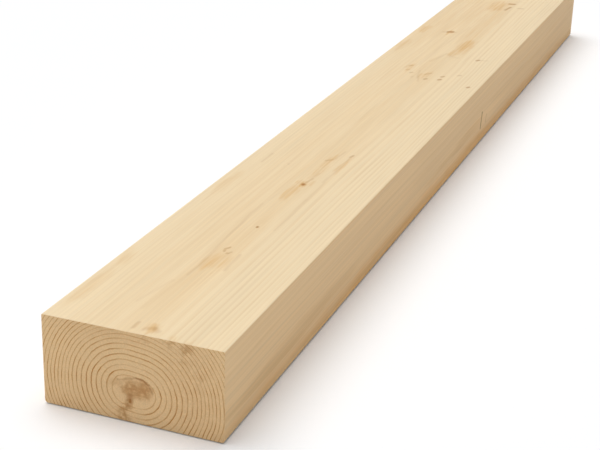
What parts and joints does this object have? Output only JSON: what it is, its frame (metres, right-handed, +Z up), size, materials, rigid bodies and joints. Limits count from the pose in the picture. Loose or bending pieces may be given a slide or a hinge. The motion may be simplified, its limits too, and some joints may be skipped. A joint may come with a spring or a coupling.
{
  "type": "timber plank",
  "caption": "Short length of planed softwood plank with a rectangular section, eased long edges and square sawn ends, for framing and joinery.",
  "frame": {"origin": "middle of the underside, on the floor the plank lies on", "axes": "+X across the width, +Y along the grain from the end nearest the viewer to the far end, +Z up through the thickness"},
  "size_m": [0.1, 0.9, 0.05],
  "materials": {
    "planed_softwood": "planed, unfinished"
  },
  "bodies": {
    "root": {"plank": "planed_softwood"}
  },
  "joints": []
}
